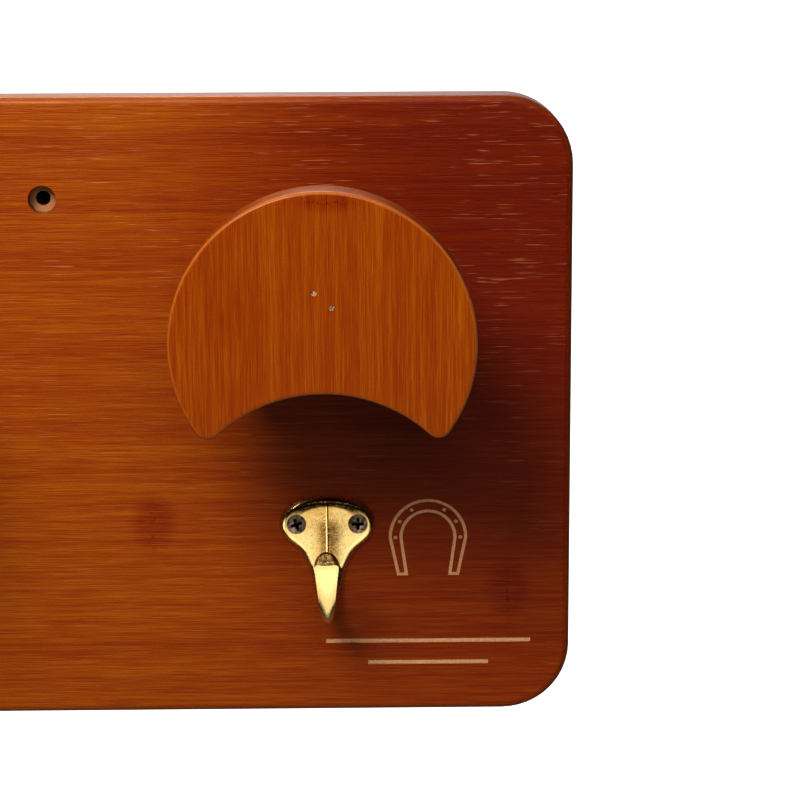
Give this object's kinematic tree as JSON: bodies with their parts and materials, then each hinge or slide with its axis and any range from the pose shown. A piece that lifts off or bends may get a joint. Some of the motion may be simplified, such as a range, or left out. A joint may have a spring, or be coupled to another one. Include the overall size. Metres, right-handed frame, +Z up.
{
  "type": "bridle rack",
  "caption": "Wall-mounted bamboo rack: a long board with rounded corners, half-moon holders that straps hang over, and a small brass hook under each.",
  "frame": {"origin": "centre of the backboard's rear face, on the wall", "axes": "+X along the board to the right as seen from the front, +Y into the wall, +Z up"},
  "size_m": [0.56, 0.081, 0.22],
  "materials": {
    "bamboo_board": "stained, semi-gloss lacquer",
    "bamboo_block": "stained, satin lacquer",
    "bamboo_crescent": "stained, semi-gloss lacquer",
    "brass": "polished, lacquered casting",
    "zinc_steel": "zinc plated, satin",
    "brad_steel": "bright, satin"
  },
  "bodies": {
    "root": {"backboard": "bamboo_board", "left_support_block": "bamboo_block", "left_crescent": "bamboo_crescent", "left_support_screw_upper": "zinc_steel", "left_support_screw_lower": "zinc_steel", "left_brad_upper": "brad_steel", "left_brad_lower": "brad_steel", "left_hook": "brass", "left_hook_screw_left": "zinc_steel", "left_hook_screw_right": "zinc_steel", "centre_support_block": "bamboo_block", "centre_crescent": "bamboo_crescent", "centre_support_screw_upper": "zinc_steel", "centre_support_screw_lower": "zinc_steel", "centre_brad_upper": "brad_steel", "centre_brad_lower": "brad_steel", "centre_hook": "brass", "centre_hook_screw_left": "zinc_steel", "centre_hook_screw_right": "zinc_steel", "right_support_block": "bamboo_block", "right_crescent": "bamboo_crescent", "right_support_screw_upper": "zinc_steel", "right_support_screw_lower": "zinc_steel", "right_brad_upper": "brad_steel", "right_brad_lower": "brad_steel", "right_hook": "brass", "right_hook_screw_left": "zinc_steel", "right_hook_screw_right": "zinc_steel"}
  },
  "joints": []
}
